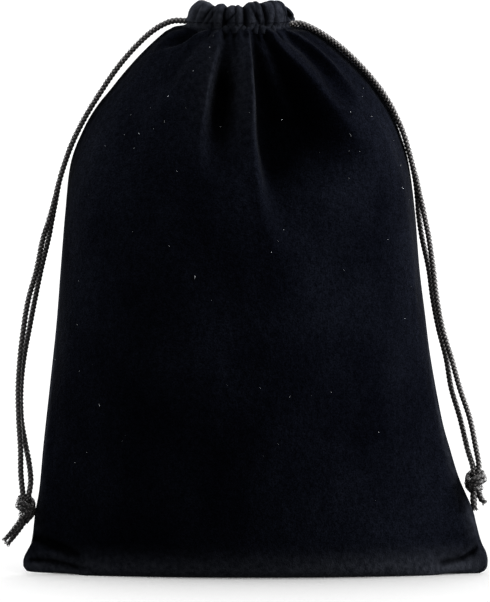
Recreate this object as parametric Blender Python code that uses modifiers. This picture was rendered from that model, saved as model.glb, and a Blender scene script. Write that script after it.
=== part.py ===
"""Drawstring dice bag: a filled black velvet pouch, standing, cinched shut by two braided drawstrings.

X runs along the bottom seam, +Y points to the back and +Z up. The origin is on the ground, at the
middle of the bag. Each drawstring runs the whole way round inside the hem and leaves it at one
side seam, as two strands that are tied together in a knot.
"""

import math

import bpy
from mathutils import Vector

CLOTH = 0.0014  # velvet with its pile
HEM_CLOTH = 0.0012
GAP = 0.0003  # left between pieces that touch
CORD_RADIUS = 0.00125
THREAD_RADIUS = 0.00025
THREAD_STEP = 0.0100
SEAM_INSET = 0.0062  # from the side of the bag to the thread inside its seam
SEAM_SPAN = slice(5, -6)  # the points of a side that its thread follows, clear of corner and band
BOTTOM_THREAD_HALF_LENGTH = 0.070
BOTTOM_THREAD_STEPS = 12
TUBE_RESOLUTION = 2

# The ring of gathered hem round the mouth
NECK_X = -0.0073
NECK_HALF_WIDTH = 0.0233
NECK_HALF_DEPTH = 0.0170
BAND_BOTTOM = 0.2350
BAND_TOP = 0.2470
BAND_WALL = 0.0090  # across the gathers, from the outside of the ring to the mouth
BAND_END_ANGLE = math.radians(21.6)  # from the side seam to the end of each half of the channel
CHANNEL_SEGMENTS = 16  # along the channel
CHANNEL_SIDES = 12  # round it
CHANNEL_EXPONENT = 0.6  # 1 would make its section an ellipse, and less makes it boxier
HEM_THREAD_RISE = 0.0008
HEM_THREAD_START = 0.75 * BAND_END_ANGLE
HEM_THREAD_POINTS = 22
RUN_POINTS = 18

RUN_SETBACK = math.radians(1.8)  # keeps the end of a run clear of its strand, which turns outwards

LEFT_CORD_Z = 0.2379  # the two cords lie one above the other in the channel
RIGHT_CORD_Z = 0.2409

# The side seams, as (x, z) from the bottom corner up to the band
LEFT_EDGE = [
    (-0.0996, 0.0042), (-0.0976, 0.0100), (-0.0962, 0.0180), (-0.0949, 0.0270), (-0.0928, 0.0370),
    (-0.0910, 0.0560), (-0.0880, 0.0830), (-0.0853, 0.1080), (-0.0834, 0.1320), (-0.0814, 0.1560),
    (-0.0790, 0.1770), (-0.0735, 0.1915), (-0.0680, 0.2010), (-0.0620, 0.2085), (-0.0555, 0.2165),
    (-0.0485, 0.2240), (-0.0405, 0.2312), (-0.0350, 0.2341), (-0.0298, 0.2347),
]
RIGHT_EDGE = [
    (0.0996, 0.0042), (0.0992, 0.0090), (0.0974, 0.0158), (0.0952, 0.0222), (0.0935, 0.0285),
    (0.0878, 0.0416), (0.0838, 0.0545), (0.0803, 0.0674), (0.0755, 0.0931), (0.0730, 0.1124),
    (0.0706, 0.1318), (0.0681, 0.1560), (0.0650, 0.1760), (0.0615, 0.1887), (0.0563, 0.2011),
    (0.0476, 0.2137), (0.0410, 0.2205), (0.0340, 0.2268), (0.0270, 0.2318), (0.0212, 0.2343),
    (0.0152, 0.2347),
]
# The middle of a panel, as (distance from the middle plane, z): flat on the ground, then up
CENTRE_LINE = [
    (0.00015, 0.0), (0.0070, 0.0), (0.0140, 0.0), (0.0192, 0.0022), (0.0225, 0.0070),
    (0.0262, 0.0160), (0.0325, 0.0360), (0.0385, 0.0640), (0.0420, 0.0950), (0.0430, 0.1250),
    (0.0418, 0.1500), (0.0380, 0.1750), (0.0325, 0.1980), (0.0262, 0.2160), (0.0205, 0.2280),
    (0.0165, 0.2347),
]
PANEL_ROWS = 20
PANEL_COLUMNS = 18
CORNER_SECTION = 1.0  # exponent of a section: 1 is a lens with sharp sides
NECK_SECTION = 0.5  # and 0.5 is an ellipse
SECTION_CHANGE = 1.6  # above 1, the section is an ellipse before the neck is reached
FLAT_REACH = 1.3  # how far a panel's rows stay level before they turn to the side seams
FLAT_EXPONENT = 0.6

# The free strands, from the channel to the knot, as (x, y, z)
LEFT_SHOULDER = [
    (-0.0348, 0.2379), (-0.0398, 0.2361), (-0.0451, 0.2326), (-0.0506, 0.2275), (-0.0562, 0.2213),
    (-0.0618, 0.2140), (-0.0665, 0.2069), (-0.0709, 0.2000), (-0.0752, 0.1923), (-0.0788, 0.1846),
    (-0.0816, 0.1770), (-0.0840, 0.1691),
]
RIGHT_SHOULDER = [
    (0.0196, 0.2378), (0.0250, 0.2355), (0.0308, 0.2323), (0.0370, 0.2280), (0.0430, 0.2220),
    (0.0489, 0.2152), (0.0537, 0.2086), (0.0579, 0.2021), (0.0611, 0.1958), (0.0638, 0.1893),
    (0.0657, 0.1830), (0.0674, 0.1766),
]
WAY_OUT = [(0.0, 0.0043), (0.0020, 0.0026), (0.0050, 0.0016)]  # (outwards, from the middle plane)
STRAND_Y = 0.0014  # half the distance between the middles of two strands that lie side by side
LEFT_FRONT_FALL = [
    (-0.0858, -0.0015, 0.1618), (-0.0884, -0.0015, 0.1525), (-0.0910, -0.0015, 0.1446),
    (-0.0936, -0.0015, 0.1318), (-0.0972, -0.0015, 0.1189), (-0.0994, -0.0015, 0.1060),
    (-0.1009, -0.0014, 0.0931), (-0.1017, -0.0014, 0.0803), (-0.1015, -0.0014, 0.0674),
    (-0.1008, -0.0014, 0.0545), (-0.1007, -0.0015, 0.0440), (-0.1002, -0.0016, 0.0351),
]
LEFT_BACK_FALL = [
    (-0.0854, 0.0014, 0.1618), (-0.0872, 0.0014, 0.1525), (-0.0887, 0.0014, 0.1446),
    (-0.0918, 0.0014, 0.1318), (-0.0945, 0.0014, 0.1189), (-0.0970, 0.0014, 0.1060),
    (-0.0994, 0.0015, 0.0931), (-0.1007, 0.0015, 0.0803), (-0.1006, 0.0015, 0.0674),
    (-0.0990, 0.0014, 0.0570), (-0.0973, 0.0006, 0.0485), (-0.0965, -0.0004, 0.0415),
    (-0.0972, -0.0014, 0.0351),
]
RIGHT_FRONT_FALL = [
    (0.0694, -0.0014, 0.1690), (0.0712, -0.0014, 0.1610), (0.0726, -0.0014, 0.1545),
    (0.0746, -0.0014, 0.1446), (0.0764, -0.0014, 0.1318), (0.0780, -0.0014, 0.1189),
    (0.0805, -0.0014, 0.1060), (0.0844, -0.0014, 0.0931), (0.0880, -0.0014, 0.0803),
    (0.0923, -0.0015, 0.0674), (0.0950, -0.0016, 0.0545), (0.0963, -0.0018, 0.0463),
]
RIGHT_BACK_FALL = [
    (0.0689, 0.0014, 0.1690), (0.0698, 0.0014, 0.1610), (0.0703, 0.0014, 0.1545),
    (0.0718, 0.0014, 0.1446), (0.0746, 0.0014, 0.1318), (0.0764, 0.0014, 0.1189),
    (0.0789, 0.0014, 0.1060), (0.0822, 0.0014, 0.0931), (0.0844, 0.0014, 0.0803),
    (0.0882, 0.0012, 0.0674), (0.0913, 0.0000, 0.0545), (0.0934, -0.0012, 0.0463),
]
STRAND_STEP = 0.0066

# Knots, as (middle, half sizes), and the two tails past each
LEFT_KNOT = ((-0.0987, -0.0016, 0.0292), (0.0036, 0.0034, 0.0050))
RIGHT_KNOT = ((0.0949, -0.0018, 0.0406), (0.0039, 0.0035, 0.0046))
LEFT_FRONT_TAIL = [(-0.1006, -0.0031, 0.0234), (-0.1040, -0.0033, 0.0192), (-0.1079, -0.0032, 0.0153)]
LEFT_BACK_TAIL = [(-0.0996, -0.0001, 0.0230), (-0.1029, 0.0000, 0.0178), (-0.1064, -0.0002, 0.0131)]
RIGHT_FRONT_TAIL = [(0.0966, -0.0030, 0.0351), (0.0975, -0.0032, 0.0320), (0.0980, -0.0032, 0.0286)]
RIGHT_BACK_TAIL = [(0.0932, -0.0034, 0.0351), (0.0935, -0.0040, 0.0320), (0.0942, -0.0043, 0.0288)]
TAIL_STEP = 0.0030
KNOT_SEGMENTS = 14
KNOT_RINGS = 9


def clear_scene():
    for obj in list(bpy.data.objects):
        bpy.data.objects.remove(obj, do_unlink=True)


def make_material(name, color, roughness):
    material = bpy.data.materials.new(name)
    material.use_nodes = True
    shader = material.node_tree.nodes["Principled BSDF"]
    shader.inputs["Base Color"].default_value = (*color, 1.0)
    shader.inputs["Roughness"].default_value = roughness
    shader.inputs["Metallic"].default_value = 0.0
    return material


def add_object(name, data, material):
    obj = bpy.data.objects.new(name, data)
    data.materials.append(material)
    COLLECTION.objects.link(obj)
    return obj


def curve_point(p0, p1, p2, p3, t):
    """One point of a Catmull-Rom stretch from p1 to p2."""
    return 0.5 * (
        2.0 * p1 + (p2 - p0) * t + (2.0 * p0 - 5.0 * p1 + 4.0 * p2 - p3) * t**2
        + (3.0 * p1 - p0 - 3.0 * p2 + p3) * t**3
    )


def smooth_points(points, count, samples=16):
    """Points an even distance apart along a smooth curve through the given points."""
    knots = [Vector(p) for p in points]
    knots = [2.0 * knots[0] - knots[1], *knots, 2.0 * knots[-1] - knots[-2]]
    fine = [knots[1]]
    for i in range(1, len(knots) - 2):
        for step in range(1, samples + 1):
            fine.append(curve_point(*knots[i - 1 : i + 3], step / samples))
    lengths = [0.0]
    for a, b in zip(fine, fine[1:]):
        lengths.append(lengths[-1] + (b - a).length)
    even = []
    i = 0
    for k in range(count):
        wanted = lengths[-1] * k / (count - 1)
        while i < len(fine) - 2 and lengths[i + 1] < wanted:
            i += 1
        share = (wanted - lengths[i]) / (lengths[i + 1] - lengths[i])
        even.append(fine[i].lerp(fine[i + 1], share))
    return even


def route_points(points, spacing):
    """Points about the given distance apart along a smooth curve through the route."""
    length = sum((Vector(b) - Vector(a)).length for a, b in zip(points, points[1:]))
    return smooth_points(points, max(3, round(length / spacing) + 1))


def add_tube(name, points, radius, material):
    """A solid round cord or thread along the points."""
    curve = bpy.data.curves.new(name, "CURVE")
    curve.dimensions = "3D"
    curve.bevel_depth = radius
    curve.bevel_resolution = TUBE_RESOLUTION
    curve.use_fill_caps = True
    spline = curve.splines.new("POLY")
    spline.points.add(len(points) - 1)
    for target, point in zip(spline.points, points):
        target.co = (*point, 1.0)
    spline.use_smooth = True
    return add_object(name, curve, material)


def panel_point(left, right, centre, across, share, side):
    """A point of a panel's outer face, from its side edges and its middle line at one height."""
    turn = math.cos(0.5 * math.pi * across)
    sideways = math.sin(0.5 * math.pi * across)
    middle_x = 0.5 * (left.x + right.x)
    half_width = 0.5 * (right.x - left.x)
    edge_z = left.y + (right.y - left.y) * 0.5 * (1.0 + sideways)
    section = CORNER_SECTION + (NECK_SECTION - CORNER_SECTION) * min(1.0, SECTION_CHANGE * share)
    level = min(1.0, FLAT_REACH * max(turn, 0.0) ** FLAT_EXPONENT)
    depth = 0.5 * GAP + (centre.x - 0.5 * GAP) * max(turn, 0.0) ** (2.0 * section)
    z = max(0.0, edge_z + (centre.y - edge_z) * level)
    return Vector((middle_x + half_width * sideways, side * depth, z))


def add_panel(name, side, material):
    """One half of the bag as a sheet of cloth, open at the seams. side is -1 for the front."""
    left = smooth_points(LEFT_EDGE, PANEL_ROWS + 1)
    right = smooth_points(RIGHT_EDGE, PANEL_ROWS + 1)
    centre = smooth_points(CENTRE_LINE, PANEL_ROWS + 1)
    points = []
    for row in range(PANEL_ROWS + 1):
        for column in range(PANEL_COLUMNS + 1):
            across = 2.0 * column / PANEL_COLUMNS - 1.0
            points.append(
                panel_point(left[row], right[row], centre[row], across, row / PANEL_ROWS, side)
            )
    faces = []
    stride = PANEL_COLUMNS + 1
    for row in range(PANEL_ROWS):
        for column in range(PANEL_COLUMNS):
            corner = row * stride + column
            face = (corner, corner + 1, corner + stride + 1, corner + stride)
            faces.append(face if side < 0 else face[::-1])
    sheet = bpy.data.meshes.new(name + "_sheet")
    sheet.from_pydata(points, [], faces)
    obj = bpy.data.objects.new(name + "_sheet", sheet)
    COLLECTION.objects.link(obj)
    thickness = obj.modifiers.new("Cloth", "SOLIDIFY")
    thickness.thickness = CLOTH
    thickness.offset = -1.0
    mesh = mesh_of(obj)
    # The inside of a sharp seam would cross the middle plane: the two panels are sewn flat there.
    for vertex in mesh.vertices:
        vertex.co.y = side * max(side * vertex.co.y, 0.5 * GAP)
    mesh.shade_smooth()
    return add_object(name, mesh, material)


def mesh_of(obj):
    """The object's evaluated mesh, after which the object is removed."""
    graph = bpy.context.evaluated_depsgraph_get()
    mesh = bpy.data.meshes.new_from_object(obj.evaluated_get(graph))
    mesh.name = obj.name
    bpy.data.objects.remove(obj, do_unlink=True)
    return mesh


def ring_point(side, angle, inset, z):
    """A point of the neck's ellipse, inset from its outside. Angle 0 is the left side seam."""
    x = NECK_X - (NECK_HALF_WIDTH - inset) * math.cos(angle)
    y = side * (NECK_HALF_DEPTH - inset) * math.sin(angle)
    return Vector((x, y, z))


def ring_arc(side, start, end, inset, z, count):
    steps = [start + (end - start) * k / (count - 1) for k in range(count)]
    return [ring_point(side, angle, inset, z) for angle in steps]


def add_channel(name, side, material):
    """Half of the hem: a flattened tube of cloth round the mouth, open at both ends."""
    inset = 0.5 * BAND_WALL
    half_height = 0.5 * (BAND_TOP - BAND_BOTTOM)
    middle_z = 0.5 * (BAND_TOP + BAND_BOTTOM)
    points = []
    for k in range(CHANNEL_SEGMENTS + 1):
        angle = BAND_END_ANGLE + (math.pi - 2.0 * BAND_END_ANGLE) * k / CHANNEL_SEGMENTS
        for step in range(CHANNEL_SIDES):
            turn = 2.0 * math.pi * step / CHANNEL_SIDES
            across = math.copysign(abs(math.cos(turn)) ** CHANNEL_EXPONENT, math.cos(turn))
            upward = math.copysign(abs(math.sin(turn)) ** CHANNEL_EXPONENT, math.sin(turn))
            z = middle_z + half_height * upward
            points.append(ring_point(side, angle, inset - inset * across, z))
    faces = []
    for k in range(CHANNEL_SEGMENTS):
        for step in range(CHANNEL_SIDES):
            here = k * CHANNEL_SIDES + step
            beside = k * CHANNEL_SIDES + (step + 1) % CHANNEL_SIDES
            face = (here, here + CHANNEL_SIDES, beside + CHANNEL_SIDES, beside)
            faces.append(face if side < 0 else face[::-1])
    sheet = bpy.data.meshes.new(name + "_sheet")
    sheet.from_pydata(points, [], faces)
    obj = bpy.data.objects.new(name + "_sheet", sheet)
    COLLECTION.objects.link(obj)
    thickness = obj.modifiers.new("Cloth", "SOLIDIFY")
    thickness.thickness = HEM_CLOTH
    thickness.offset = -1.0
    mesh = mesh_of(obj)
    mesh.shade_smooth()
    return add_object(name, mesh, material)


def add_hem_stitching(name, side, material):
    """The thread that holds the hem, along the foot of the band."""
    start = HEM_THREAD_START
    outside = -(GAP + THREAD_RADIUS)
    z = BAND_BOTTOM + HEM_THREAD_RISE
    points = ring_arc(side, start, math.pi - start, outside, z, HEM_THREAD_POINTS)
    add_tube(name, points, THREAD_RADIUS, material)


def add_side_stitching(name, edge, material):
    """The thread of a side seam, inside the bag, from above the corner to below the band."""
    inward = math.copysign(SEAM_INSET, -edge[0][0])
    points = [(x + inward, 0.0, z) for x, z in edge[SEAM_SPAN]]
    add_tube(name, route_points(points, THREAD_STEP), THREAD_RADIUS, material)


def add_bottom_stitching(material):
    height = CLOTH + GAP + THREAD_RADIUS
    step = 2.0 * BOTTOM_THREAD_HALF_LENGTH / BOTTOM_THREAD_STEPS
    start = -BOTTOM_THREAD_HALF_LENGTH
    points = [(start + step * k, 0.0, height) for k in range(BOTTOM_THREAD_STEPS + 1)]
    add_tube("bottom_stitching", points, THREAD_RADIUS, material)


def add_cord_run(name, side, z, far_end, material):
    """The stretch of one cord inside one half of the channel. far_end is 1 where the cord goes on
    round the right side seam, and -1 where it goes on round the left one."""
    inset = 0.5 * BAND_WALL
    seam = GAP / (NECK_HALF_DEPTH - inset)
    near = BAND_END_ANGLE + RUN_SETBACK
    if far_end > 0:
        points = ring_arc(side, near, math.pi - seam, inset, z, RUN_POINTS)
    else:
        points = ring_arc(side, seam, math.pi - near, inset, z, RUN_POINTS)
    add_tube(name, points, CORD_RADIUS, material)


def strand_route(side, sign, shoulder, fall, z):
    """The whole route of a free strand. sign is -1 on the left and 1 on the right."""
    exit_x = NECK_X + sign * (NECK_HALF_WIDTH - 0.5 * BAND_WALL) * math.cos(BAND_END_ANGLE)
    way_out = [(exit_x + sign * outwards, side * y, z) for outwards, y in WAY_OUT]
    return way_out + [(x, side * STRAND_Y, height) for x, height in shoulder] + fall


def add_knot(name, knot, material):
    middle, half_sizes = knot
    bpy.ops.mesh.primitive_uv_sphere_add(segments=KNOT_SEGMENTS, ring_count=KNOT_RINGS, radius=1.0)
    obj = bpy.context.object
    mesh = obj.data
    for vertex in mesh.vertices:
        vertex.co = Vector(a * b for a, b in zip(vertex.co, half_sizes))
    mesh.shade_smooth()
    obj.name = name
    obj.location = middle
    mesh.materials.append(material)
    for owner in list(obj.users_collection):
        owner.objects.unlink(obj)
    COLLECTION.objects.link(obj)


def add_bag(velvet, thread):
    for name, side in (("front", -1), ("back", 1)):
        add_panel(name + "_panel", side, velvet)
        add_channel(name + "_channel", side, velvet)
        add_hem_stitching(name + "_hem_stitching", side, thread)
    add_side_stitching("left_side_stitching", LEFT_EDGE, thread)
    add_side_stitching("right_side_stitching", RIGHT_EDGE, thread)
    add_bottom_stitching(thread)


def add_drawstring(name, sign, z, shoulder, falls, tails, knot, material):
    """One cord: two runs in the channel, two free strands, the knot, and a tail of each strand."""
    for side_name, side, fall, tail in zip(("front", "back"), (-1, 1), falls, tails):
        add_cord_run(f"{name}_cord_{side_name}_run", side, z, -sign, material)
        route = strand_route(side, sign, shoulder, fall, z)
        strand = route_points(route, STRAND_STEP)
        add_tube(f"{name}_cord_{side_name}_strand", strand, CORD_RADIUS, material)
        tail_points = route_points(tail, TAIL_STEP)
        add_tube(f"{name}_cord_{side_name}_tail", tail_points, CORD_RADIUS, material)
    add_knot(name + "_knot", knot, material)


clear_scene()
COLLECTION = bpy.data.collections.new("drawstring_dice_bag")
bpy.context.scene.collection.children.link(COLLECTION)

VELVET = make_material("black_velvet", (0.012, 0.013, 0.017), 0.95)
THREAD = make_material("black_thread", (0.010, 0.010, 0.012), 0.70)
CORD = make_material("charcoal_cord", (0.030, 0.031, 0.035), 0.60)

add_bag(VELVET, THREAD)
add_drawstring(
    "left", -1, LEFT_CORD_Z, LEFT_SHOULDER, (LEFT_FRONT_FALL, LEFT_BACK_FALL),
    (LEFT_FRONT_TAIL, LEFT_BACK_TAIL), LEFT_KNOT, CORD,
)
add_drawstring(
    "right", 1, RIGHT_CORD_Z, RIGHT_SHOULDER, (RIGHT_FRONT_FALL, RIGHT_BACK_FALL),
    (RIGHT_FRONT_TAIL, RIGHT_BACK_TAIL), RIGHT_KNOT, CORD,
)
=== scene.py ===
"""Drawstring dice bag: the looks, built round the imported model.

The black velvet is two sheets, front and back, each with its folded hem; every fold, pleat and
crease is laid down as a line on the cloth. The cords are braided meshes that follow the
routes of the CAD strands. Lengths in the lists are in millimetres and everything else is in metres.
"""

import math
import random

import bpy
import numpy as np
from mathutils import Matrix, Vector


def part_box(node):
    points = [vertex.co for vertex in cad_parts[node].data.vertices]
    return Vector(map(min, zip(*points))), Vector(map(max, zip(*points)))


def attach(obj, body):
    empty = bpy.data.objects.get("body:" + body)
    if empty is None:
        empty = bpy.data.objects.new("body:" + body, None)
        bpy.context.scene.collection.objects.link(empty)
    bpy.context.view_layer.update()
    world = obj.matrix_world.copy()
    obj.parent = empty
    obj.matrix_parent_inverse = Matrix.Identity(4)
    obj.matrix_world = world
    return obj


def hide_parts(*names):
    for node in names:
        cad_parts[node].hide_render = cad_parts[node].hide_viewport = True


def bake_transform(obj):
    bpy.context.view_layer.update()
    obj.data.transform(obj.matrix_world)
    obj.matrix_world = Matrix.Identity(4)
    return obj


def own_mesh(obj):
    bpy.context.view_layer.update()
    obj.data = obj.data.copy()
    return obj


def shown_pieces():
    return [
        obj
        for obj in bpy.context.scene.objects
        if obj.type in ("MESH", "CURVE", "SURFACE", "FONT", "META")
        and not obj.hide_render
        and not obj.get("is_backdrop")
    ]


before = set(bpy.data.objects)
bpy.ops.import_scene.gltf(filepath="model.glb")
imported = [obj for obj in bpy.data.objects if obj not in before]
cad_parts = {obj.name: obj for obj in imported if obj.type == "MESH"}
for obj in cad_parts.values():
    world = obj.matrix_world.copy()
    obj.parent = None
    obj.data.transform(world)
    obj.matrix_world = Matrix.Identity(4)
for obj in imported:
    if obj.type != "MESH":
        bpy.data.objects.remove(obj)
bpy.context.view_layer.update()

MM = 0.001
SEED = 7

# ---------------------------------------------------------------- the bag's form, as in the CAD
CLOTH = 1.1
SEAM_HALF_GAP = 0.05
NECK_X = -7.3
NECK_HALF_WIDTH = 23.3
NECK_HALF_DEPTH = 17.0
TOP_HALF_WIDTH = 19.9  # of the hem's top, which stands in from the stitch line
BAND_END_ANGLE = math.radians(21.6)
SEAM_Z = 234.7  # where a panel ends and its hem starts
SHAPED_Z = 239.0  # the hem's top is shaped above this
HEM_TOP_Z = 247.0
LEFT_EDGE = [
    (-98.6, 1.8), (-99.9, 4.4), (-99.4, 7.4), (-97.9, 10.4), (-96.4, 13.4), (-95.6, 18.0),
    (-94.6, 27.0), (-92.8, 37.0), (-91.0, 56.0),
    (-88.0, 83.0), (-85.3, 108.0), (-83.4, 132.0), (-81.4, 156.0), (-79.0, 177.0), (-73.5, 191.5),
    (-68.0, 201.0), (-62.0, 208.5), (-55.5, 216.5), (-48.5, 224.2), (-40.5, 231.7), (-35.6, 235.2),
    (-30.2, 236.2),
]
RIGHT_EDGE = [
    (96.6, 0.3), (99.3, 2.0), (100.3, 5.4), (99.6, 9.4), (98.0, 12.6), (96.8, 16.0),
    (95.2, 22.2), (93.5, 28.5), (87.8, 41.6), (83.8, 54.5),
    (80.3, 67.4), (75.5, 93.1), (73.0, 112.4), (70.6, 131.8), (68.6, 156.0), (66.0, 176.0),
    (62.5, 188.7), (57.3, 201.1), (48.5, 213.7), (41.6, 220.7), (34.2, 227.3), (27.0, 232.6),
    (21.4, 235.3), (15.6, 235.8),
]
CENTRE_LINE = [
    (0.15, 0.0), (7.0, 0.0), (14.0, 0.0), (19.2, 2.2), (22.5, 7.0), (26.2, 16.0), (32.5, 36.0),
    (38.5, 64.0), (42.0, 95.0), (43.0, 125.0), (41.8, 150.0), (38.0, 175.0), (32.5, 198.0),
    (26.2, 216.0), (20.5, 228.0), (16.5, 234.7),
]
BODY_ROWS = 226
BAND_ROWS = 62
COLUMNS = 160

# The hem's section, from the stitch line up, over and down inside the mouth: (inset, z)
HEM_SECTION = [
    (1.0, 234.7), (1.3, 235.4), (1.15, 236.0), (0.45, 237.2), (0.0, 239.0), (-0.1, 241.0),
    (0.1, 243.2), (0.9, 245.2), (2.4, 246.6), (4.4, 247.0), (6.4, 246.5), (7.9, 245.0),
    (8.7, 242.8), (8.9, 240.4), (8.5, 238.4), (7.4, 236.6), (5.4, 235.7), (3.8, 235.2),
    (3.1, 234.2), (3.0, 232.6),
]
# Where the top of the hem comes to, as (x, z)
FRONT_TOP = [
    (-30.0, 240.5), (-28.1, 242.5), (-26.8, 244.1), (-25.5, 245.9), (-24.2, 246.9), (-21.7, 246.1),
    (-18.6, 244.4), (-15.8, 245.5), (-13.9, 245.5), (-12.6, 244.4), (-10.9, 244.8), (-8.8, 245.1),
    (-7.5, 245.4), (-6.2, 244.6), (-4.7, 244.7), (-2.4, 246.1), (0.2, 246.9), (2.8, 246.0),
    (4.1, 245.8), (6.7, 247.1), (9.2, 246.7), (10.9, 246.8), (12.2, 245.9), (13.4, 244.5),
    (14.6, 243.1),
]
BACK_TOP = [
    (-30.0, 241.0), (-26.0, 243.2), (-20.0, 244.4), (-15.0, 243.6), (-9.0, 244.6), (-3.0, 243.8),
    (3.0, 244.8), (8.0, 244.2), (12.0, 244.9), (15.4, 242.6),
]

# Lines on the cloth, each as (points (x, z), heights, widths, power). A negative height sinks in,
# and the power makes the line a sharp crease at 1 and a soft swell at 2.
FRONT_FOLDS = [
    # the crests that run along the pleats
    ([(-3.5, 236.0), (-2.2, 228.0), (-1.2, 217.7), (-0.4, 205.0), (-0.3, 192.0), (0.9, 172.0),
      (2.9, 157.0), (6.4, 147.0), (9.7, 139.0), (15.9, 130.0)],
     (0.5, 0.9, 1.2, 1.5, 1.7, 1.8, 1.6, 1.2, 0.8, 0.0),
     (1.6, 2.0, 2.4, 2.8, 3.4, 4.4, 5.4, 6.0, 6.6, 7.6), 1.3),
    ([(-14.8, 243.0), (-14.9, 231.0), (-16.9, 221.4), (-19.6, 212.0), (-21.8, 203.0), (-23.6, 195.0),
      (-26.5, 184.0), (-30.0, 170.0)],
     (0.4, 0.5, 0.6, 0.6, 0.6, 0.5, 0.4, 0.0), (1.6, 2.4, 3.6, 4.8, 6.0, 7.0, 8.0, 9.0), 1.7),
    ([(4.1, 236.4), (8.6, 230.0), (13.9, 224.2), (20.4, 218.0), (26.6, 211.0), (34.6, 200.5),
      (44.6, 187.0), (53.2, 180.0), (63.1, 173.0)],
     (0.5, 0.9, 1.2, 1.4, 1.6, 1.5, 1.2, 0.7, 0.0), (1.4, 1.9, 2.5, 3.0, 3.6, 4.6, 5.6, 6.4, 7.4), 1.3),
    ([(9.8, 236.4), (16.4, 232.5), (23.8, 227.6), (31.0, 220.8), (38.2, 212.0), (46.0, 201.0)],
     (0.5, 1.1, 1.4, 1.4, 1.0, 0.0), (1.3, 1.7, 2.2, 3.0, 4.0, 5.2), 1.3),
    ([(-18.0, 238.4), (-26.0, 236.6), (-33.5, 233.6), (-44.2, 226.0), (-51.1, 217.5), (-55.6, 209.0),
      (-60.0, 198.0)],
     (0.6, 1.3, 1.7, 1.7, 1.3, 0.8, 0.0), (1.7, 2.2, 2.7, 3.2, 3.8, 4.8, 6.2), 1.5),
    # small gathers that die out close under the stitch line
    ([(-9.4, 236.0), (-9.0, 228.0), (-8.2, 218.0)], (-1.2, -0.8, 0.0), (1.0, 1.5, 2.4), 1.2),
    ([(-0.4, 236.0), (0.6, 230.0), (1.4, 222.0)], (-0.9, -0.6, 0.0), (0.8, 1.1, 1.6), 1.2),
    ([(-20.6, 236.4), (-27.0, 232.6), (-35.0, 226.0)], (-0.6, -0.4, 0.0), (0.7, 0.9, 1.4), 1.2),
    ([(-21.0, 232.0), (-27.0, 226.0), (-34.0, 216.0), (-40.0, 203.0)],
     (-0.4, -1.3, -1.1, 0.0), (1.4, 2.6, 4.0, 6.0), 1.6),
    ([(-29.0, 218.0), (-37.0, 205.0), (-45.0, 188.0)], (0.0, 0.9, 0.0), (4.0, 5.5, 8.0), 1.8),
    ([(12.4, 236.4), (19.0, 233.4), (27.0, 228.8)], (-0.9, -0.7, 0.0), (0.8, 1.0, 1.4), 1.2),
    ([(-5.0, 228.0), (-6.6, 212.0), (-7.6, 196.0), (-8.0, 178.0)],
     (0.2, -0.7, -0.8, 0.0), (1.6, 2.6, 3.6, 5.0), 1.6),
    ([(0.0, 150.0), (6.0, 128.0), (14.0, 108.0)], (0.0, -0.9, 0.0), (7.0, 9.0, 12.0), 1.9),
    # long soft dents lower down
    ([(-62.0, 176.0), (-58.0, 150.0), (-60.0, 118.0)], (0.0, -1.3, 0.0), (9.0, 13.0, 18.0), 2.0),
    ([(44.0, 168.0), (38.0, 140.0), (42.0, 104.0)], (0.0, -1.3, 0.0), (9.0, 14.0, 18.0), 2.0),
    ([(-24.0, 120.0), (-30.0, 92.0), (-26.0, 60.0)], (0.0, 1.0, 0.0), (14.0, 18.0, 18.0), 2.0),
    ([(20.0, 84.0), (28.0, 60.0), (24.0, 34.0)], (0.0, -1.1, 0.0), (12.0, 16.0, 14.0), 2.0),
    ([(62.0, 92.0), (58.0, 66.0), (66.0, 40.0)], (0.0, 1.0, 0.0), (8.0, 12.0, 10.0), 2.0),
    ([(-70.0, 70.0), (-66.0, 46.0), (-74.0, 26.0)], (0.0, -1.2, 0.0), (7.0, 10.0, 8.0), 2.0),
    # the bottom corners
    ([(-95.4, 15.9), (-87.0, 13.0), (-80.0, 10.3), (-72.0, 7.4)],
     (-1.6, -2.6, -2.2, 0.0), (1.6, 2.2, 2.4, 3.0), 1.4),
    ([(-96.4, 6.2), (-86.0, 5.2), (-77.6, 3.4), (-68.0, 2.0)],
     (-1.4, -2.1, -1.6, 0.0), (0.9, 1.3, 1.5, 2.2), 1.2),
    ([(-92.0, 9.6), (-84.0, 8.0), (-76.0, 6.0)], (0.7, 1.1, 0.0), (1.4, 1.8, 2.4), 1.6),
    ([(95.6, 11.6), (93.4, 9.4), (90.4, 7.4), (84.0, 5.9), (76.0, 5.0)],
     (-1.7, -2.4, -2.2, -1.4, 0.0), (0.8, 1.0, 1.2, 1.5, 2.2), 1.2),
    ([(96.0, 20.0), (88.0, 17.0), (78.0, 15.6)], (-0.4, -0.7, 0.0), (1.2, 2.0, 3.4), 1.6),
]
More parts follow.
